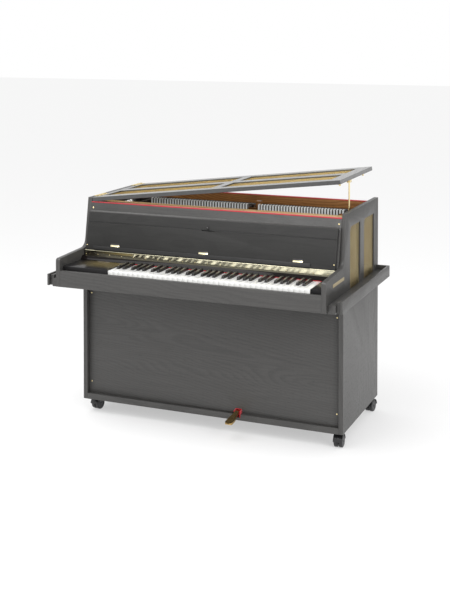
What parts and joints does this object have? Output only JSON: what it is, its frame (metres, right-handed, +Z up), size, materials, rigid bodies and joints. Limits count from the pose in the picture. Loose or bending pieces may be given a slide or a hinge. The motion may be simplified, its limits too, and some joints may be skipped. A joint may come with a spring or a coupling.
{
  "type": "celesta",
  "caption": "Upright keyboard instrument with felt hammers over metal plates, in a black wood case with propped mesh lid, open fallboard, pedal, carrying rails and swivel casters.",
  "frame": {"origin": "on the floor, under the middle of the case's width, in the plane of the lower cabinet's front edge", "axes": "+X to the player's right, +Y from the player towards the back, +Z up"},
  "size_m": [1.354, 0.8024, 1.126],
  "materials": {
    "black_wood": "black stained open-pore, satin",
    "bare_wood": "bare, matt",
    "brown_wood": "oiled, satin",
    "gloss_black": "polished lacquer",
    "brass": "polished",
    "brass_mesh": "satin expanded mesh",
    "felt_red": "felt",
    "felt_white": "felt",
    "key_white": "polished",
    "key_black": "satin polished",
    "steel": "ground",
    "hood_black": "fine satin",
    "wheel_rubber": "matt"
  },
  "bodies": {
    "case": {"side_left": "black_wood", "side_right": "black_wood", "side_grilles": "brass_mesh", "bottom_board": "black_wood", "front_panel": "black_wood", "back_panel": "black_wood", "keybed": "black_wood", "key_blocks": "gloss_black", "nameboard": "gloss_black", "case_hinges": "brass", "upper_front_panel": "black_wood", "inner_rails": "bare_wood", "red_felts": "felt_red", "sound_plates": "steel", "resonator_box": "brown_wood", "action_frame": "brown_wood", "carry_handles": "black_wood"},
    "fallboard": {"fallboard": "black_wood", "leaf_hinges": "brass"},
    "fallboard_lip": {"fallboard_lip": "black_wood"},
    "music_ledge": {"music_ledge": "black_wood"},
    "lid": {"lid": "black_wood", "lid_mesh": "brass_mesh", "lid_fittings": "brass"},
    "prop_rod": {"prop_rod": "brass"},
    "pedal": {"pedal": "brass"},
    "trap_lever": {"trap_lever": "steel"},
    "damper_rail": {"damper_rail": "brown_wood"},
    "key_c": {"key_c": "key_white"},
    "hammer_c": {"hammer_c": "felt_white"},
    "key_c_sharp": {"key_c_sharp": "key_black"},
    "hammer_c_sharp": {"hammer_c_sharp": "felt_white"},
    "key_d": {"key_d": "key_white"},
    "hammer_d": {"hammer_d": "felt_white"},
    "key_d_sharp": {"key_d_sharp": "key_black"},
    "hammer_d_sharp": {"hammer_d_sharp": "felt_white"},
    "key_e": {"key_e": "key_white"},
    "hammer_e": {"hammer_e": "felt_white"},
    "key_f": {"key_f": "key_white"},
    "hammer_f": {"hammer_f": "felt_white"},
    "key_f_sharp": {"key_f_sharp": "key_black"},
    "hammer_f_sharp": {"hammer_f_sharp": "felt_white"},
    "key_g": {"key_g": "key_white"},
    "hammer_g": {"hammer_g": "felt_white"},
    "key_g_sharp": {"key_g_sharp": "key_black"},
    "hammer_g_sharp": {"hammer_g_sharp": "felt_white"},
    "key_a": {"key_a": "key_white"},
    "hammer_a": {"hammer_a": "felt_white"},
    "key_a_sharp": {"key_a_sharp": "key_black"},
    "hammer_a_sharp": {"hammer_a_sharp": "felt_white"},
    "key_b": {"key_b": "key_white"},
    "hammer_b": {"hammer_b": "felt_white"},
    "caster_front_left": {"caster_front_left": "hood_black"},
    "wheels_front_left": {"wheels_front_left": "wheel_rubber"},
    "caster_front_right": {"caster_front_right": "hood_black"},
    "wheels_front_right": {"wheels_front_right": "wheel_rubber"},
    "caster_back_left": {"caster_back_left": "hood_black"},
    "wheels_back_left": {"wheels_back_left": "wheel_rubber"},
    "caster_back_right": {"caster_back_right": "hood_black"},
    "wheels_back_right": {"wheels_back_right": "wheel_rubber"}
  },
  "joints": [
    {"name": "fallboard_fold", "type": "hinge", "parent": "case", "child": "fallboard", "pos_m": [0, -0.0275, 0.7575], "axis": [-1, 0, 0], "range_deg": [-109, 0]},
    {"name": "lip_fold", "type": "hinge", "parent": "fallboard", "child": "fallboard_lip", "pos_m": [0, 0.00243, 0.88247], "axis": [-1, 0, 0], "range_deg": [-15, 0]},
    {"name": "ledge_fold", "type": "hinge", "parent": "fallboard", "child": "music_ledge", "pos_m": [0, -0.02377, 0.78128], "axis": [-1, 0, 0], "range_deg": [0, 80]},
    {"name": "lid_hinge", "type": "hinge", "parent": "case", "child": "lid", "pos_m": [-0.597, 0.3, 0.9877], "axis": [0, -1, 0], "range_deg": [-6.8, 70]},
    {"name": "prop_swing", "type": "hinge", "parent": "lid", "child": "prop_rod", "pos_m": [0.58276, 0.2, 1.10204], "axis": [-1, 0, 0], "range_deg": [-90, 0]},
    {"name": "pedal_press", "type": "hinge", "parent": "case", "child": "pedal", "pos_m": [0.141, 0.15, 0.091], "axis": [1, 0, 0], "range_deg": [0, 4], "stiffness_Nm_per_rad": 20, "springref_deg": -5.73},
    {"name": "trap_turn", "type": "hinge", "parent": "case", "child": "trap_lever", "pos_m": [0.141, 0.3, 0.126], "axis": [-1, 0, 0], "range_deg": [0, 6.2]},
    {"name": "damper_lift", "type": "slide", "parent": "case", "child": "damper_rail", "axis": [0, 0, 1], "range_m": [0, 0.0064]},
    {"name": "key_c_press", "type": "hinge", "parent": "case", "child": "key_c", "pos_m": [0, 0.11, 0.692], "axis": [1, 0, 0], "range_deg": [0, 1.7], "stiffness_Nm_per_rad": 8, "springref_deg": -2.86},
    {"name": "hammer_c_turn", "type": "hinge", "parent": "case", "child": "hammer_c", "pos_m": [0, 0.405, 0.935], "axis": [1, 0, 0], "range_deg": [0, 12.7]},
    {"name": "key_c_sharp_press", "type": "hinge", "parent": "case", "child": "key_c_sharp", "pos_m": [0, 0.11, 0.692], "axis": [1, 0, 0], "range_deg": [0, 1.7], "stiffness_Nm_per_rad": 8, "springref_deg": -2.86},
    {"name": "hammer_c_sharp_turn", "type": "hinge", "parent": "case", "child": "hammer_c_sharp", "pos_m": [0, 0.405, 0.935], "axis": [1, 0, 0], "range_deg": [0, 12.7]},
    {"name": "key_d_press", "type": "hinge", "parent": "case", "child": "key_d", "pos_m": [0, 0.11, 0.692], "axis": [1, 0, 0], "range_deg": [0, 1.7], "stiffness_Nm_per_rad": 8, "springref_deg": -2.86},
    {"name": "hammer_d_turn", "type": "hinge", "parent": "case", "child": "hammer_d", "pos_m": [0, 0.405, 0.935], "axis": [1, 0, 0], "range_deg": [0, 12.7]},
    {"name": "key_d_sharp_press", "type": "hinge", "parent": "case", "child": "key_d_sharp", "pos_m": [0, 0.11, 0.692], "axis": [1, 0, 0], "range_deg": [0, 1.7], "stiffness_Nm_per_rad": 8, "springref_deg": -2.86},
    {"name": "hammer_d_sharp_turn", "type": "hinge", "parent": "case", "child": "hammer_d_sharp", "pos_m": [0, 0.405, 0.935], "axis": [1, 0, 0], "range_deg": [0, 12.7]},
    {"name": "key_e_press", "type": "hinge", "parent": "case", "child": "key_e", "pos_m": [0, 0.11, 0.692], "axis": [1, 0, 0], "range_deg": [0, 1.7], "stiffness_Nm_per_rad": 8, "springref_deg": -2.86},
    {"name": "hammer_e_turn", "type": "hinge", "parent": "case", "child": "hammer_e", "pos_m": [0, 0.405, 0.935], "axis": [1, 0, 0], "range_deg": [0, 12.7]},
    {"name": "key_f_press", "type": "hinge", "parent": "case", "child": "key_f", "pos_m": [0, 0.11, 0.692], "axis": [1, 0, 0], "range_deg": [0, 1.7], "stiffness_Nm_per_rad": 8, "springref_deg": -2.86},
    {"name": "hammer_f_turn", "type": "hinge", "parent": "case", "child": "hammer_f", "pos_m": [0, 0.405, 0.935], "axis": [1, 0, 0], "range_deg": [0, 12.7]},
    {"name": "key_f_sharp_press", "type": "hinge", "parent": "case", "child": "key_f_sharp", "pos_m": [0, 0.11, 0.692], "axis": [1, 0, 0], "range_deg": [0, 1.7], "stiffness_Nm_per_rad": 8, "springref_deg": -2.86},
    {"name": "hammer_f_sharp_turn", "type": "hinge", "parent": "case", "child": "hammer_f_sharp", "pos_m": [0, 0.405, 0.935], "axis": [1, 0, 0], "range_deg": [0, 12.7]},
    {"name": "key_g_press", "type": "hinge", "parent": "case", "child": "key_g", "pos_m": [0, 0.11, 0.692], "axis": [1, 0, 0], "range_deg": [0, 1.7], "stiffness_Nm_per_rad": 8, "springref_deg": -2.86},
    {"name": "hammer_g_turn", "type": "hinge", "parent": "case", "child": "hammer_g", "pos_m": [0, 0.405, 0.935], "axis": [1, 0, 0], "range_deg": [0, 12.7]},
    {"name": "key_g_sharp_press", "type": "hinge", "parent": "case", "child": "key_g_sharp", "pos_m": [0, 0.11, 0.692], "axis": [1, 0, 0], "range_deg": [0, 1.7], "stiffness_Nm_per_rad": 8, "springref_deg": -2.86},
    {"name": "hammer_g_sharp_turn", "type": "hinge", "parent": "case", "child": "hammer_g_sharp", "pos_m": [0, 0.405, 0.935], "axis": [1, 0, 0], "range_deg": [0, 12.7]},
    {"name": "key_a_press", "type": "hinge", "parent": "case", "child": "key_a", "pos_m": [0, 0.11, 0.692], "axis": [1, 0, 0], "range_deg": [0, 1.7], "stiffness_Nm_per_rad": 8, "springref_deg": -2.86},
    {"name": "hammer_a_turn", "type": "hinge", "parent": "case", "child": "hammer_a", "pos_m": [0, 0.405, 0.935], "axis": [1, 0, 0], "range_deg": [0, 12.7]},
    {"name": "key_a_sharp_press", "type": "hinge", "parent": "case", "child": "key_a_sharp", "pos_m": [0, 0.11, 0.692], "axis": [1, 0, 0], "range_deg": [0, 1.7], "stiffness_Nm_per_rad": 8, "springref_deg": -2.86},
    {"name": "hammer_a_sharp_turn", "type": "hinge", "parent": "case", "child": "hammer_a_sharp", "pos_m": [0, 0.405, 0.935], "axis": [1, 0, 0], "range_deg": [0, 12.7]},
    {"name": "key_b_press", "type": "hinge", "parent": "case", "child": "key_b", "pos_m": [0, 0.11, 0.692], "axis": [1, 0, 0], "range_deg": [0, 1.7], "stiffness_Nm_per_rad": 8, "springref_deg": -2.86},
    {"name": "hammer_b_turn", "type": "hinge", "parent": "case", "child": "hammer_b", "pos_m": [0, 0.405, 0.935], "axis": [1, 0, 0], "range_deg": [0, 12.7]},
    {"name": "swivel_front_left", "type": "hinge", "parent": "case", "child": "caster_front_left", "pos_m": [-0.588, 0.06, 0.06], "axis": [0, 0, 1], "continuous": true},
    {"name": "roll_front_left", "type": "hinge", "parent": "caster_front_left", "child": "wheels_front_left", "pos_m": [-0.58457, 0.07767, 0.026], "axis": [-0.9816, 0.1908, 0], "continuous": true},
    {"name": "swivel_front_right", "type": "hinge", "parent": "case", "child": "caster_front_right", "pos_m": [0.588, 0.06, 0.06], "axis": [0, 0, 1], "continuous": true},
    {"name": "roll_front_right", "type": "hinge", "parent": "caster_front_right", "child": "wheels_front_right", "pos_m": [0.58863, 0.04201, 0.026], "axis": [0.9994, 0.0349, 0], "continuous": true},
    {"name": "swivel_back_left", "type": "hinge", "parent": "case", "child": "caster_back_left", "pos_m": [-0.588, 0.51, 0.06], "axis": [0, 0, 1], "continuous": true},
    {"name": "roll_back_left", "type": "hinge", "parent": "caster_back_left", "child": "wheels_back_left", "pos_m": [-0.59266, 0.52739, 0.026], "axis": [-0.9659, -0.2588, 0], "continuous": true},
    {"name": "swivel_back_right", "type": "hinge", "parent": "case", "child": "caster_back_right", "pos_m": [0.588, 0.51, 0.06], "axis": [0, 0, 1], "continuous": true},
    {"name": "roll_back_right", "type": "hinge", "parent": "caster_back_right", "child": "wheels_back_right", "pos_m": [0.59113, 0.52773, 0.026], "axis": [-0.9848, 0.1736, 0], "continuous": true}
  ],
  "couplings": [
    {"joint": "trap_turn", "follows": "pedal_press", "ratio": 1.525},
    {"joint": "damper_lift", "follows": "pedal_press", "m_per_rad": 0.0902},
    {"joint": "hammer_c_turn", "follows": "key_c_press", "ratio": 7.41},
    {"joint": "hammer_c_sharp_turn", "follows": "key_c_sharp_press", "ratio": 7.41},
    {"joint": "hammer_d_turn", "follows": "key_d_press", "ratio": 7.41},
    {"joint": "hammer_d_sharp_turn", "follows": "key_d_sharp_press", "ratio": 7.41},
    {"joint": "hammer_e_turn", "follows": "key_e_press", "ratio": 7.41},
    {"joint": "hammer_f_turn", "follows": "key_f_press", "ratio": 7.41},
    {"joint": "hammer_f_sharp_turn", "follows": "key_f_sharp_press", "ratio": 7.41},
    {"joint": "hammer_g_turn", "follows": "key_g_press", "ratio": 7.41},
    {"joint": "hammer_g_sharp_turn", "follows": "key_g_sharp_press", "ratio": 7.41},
    {"joint": "hammer_a_turn", "follows": "key_a_press", "ratio": 7.41},
    {"joint": "hammer_a_sharp_turn", "follows": "key_a_sharp_press", "ratio": 7.41},
    {"joint": "hammer_b_turn", "follows": "key_b_press", "ratio": 7.41}
  ]
}
